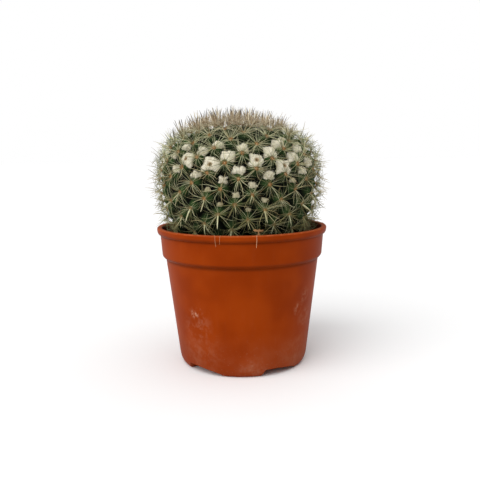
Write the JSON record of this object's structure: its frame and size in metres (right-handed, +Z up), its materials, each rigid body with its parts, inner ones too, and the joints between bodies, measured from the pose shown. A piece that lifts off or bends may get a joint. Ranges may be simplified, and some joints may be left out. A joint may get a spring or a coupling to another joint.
{
  "type": "potted round cactus",
  "caption": "Round cactus with spiral tubercles, starry spines and tufts of white wool, in a tapered plastic nursery pot with a rolled rim and a notched foot.",
  "frame": {"origin": "on the pot's axis, in the plane of its feet", "axes": "+Z up along the pot's axis, -Y towards the front of the pot and the viewer, +X to the viewer's right"},
  "size_m": [0.1074, 0.1074, 0.1554],
  "materials": {
    "pot_plastic": "satin",
    "potting_mix": "matte",
    "plant": "matte"
  },
  "bodies": {
    "root": {"pot": "pot_plastic", "soil": "potting_mix", "cactus": "plant"}
  },
  "joints": []
}
